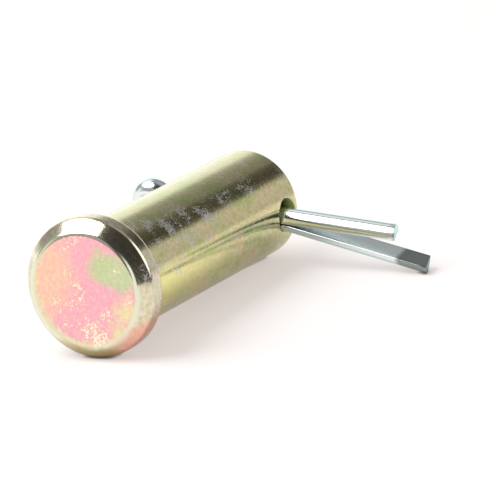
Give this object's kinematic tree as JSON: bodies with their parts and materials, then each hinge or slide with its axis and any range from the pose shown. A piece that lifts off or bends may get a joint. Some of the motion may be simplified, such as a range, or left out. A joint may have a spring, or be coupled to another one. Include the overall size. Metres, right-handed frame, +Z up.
{
  "type": "clevis pin",
  "caption": "Headed clevis pin with a split pin through the cross hole near its tip, lying as it rests on a table.",
  "frame": {"origin": "middle of the footprint, on the surface that it lies on", "axes": "+X along the pin from head to tip, level, +Y to the split pin's eye, +Z up"},
  "size_m": [0.0396, 0.0384, 0.0159],
  "materials": {
    "yellow_zinc": "zinc plate with yellow chromate",
    "bright_zinc": "bright zinc plate"
  },
  "bodies": {
    "clevis_pin": {"clevis_pin": "yellow_zinc"},
    "split_pin": {"split_pin": "bright_zinc"}
  },
  "joints": [
    {"name": "split_pin_slide", "type": "slide", "parent": "clevis_pin", "child": "split_pin", "axis": [-0.0401, -0.9962, -0.0769], "range_m": [-0.0008, 0.0024]}
  ]
}
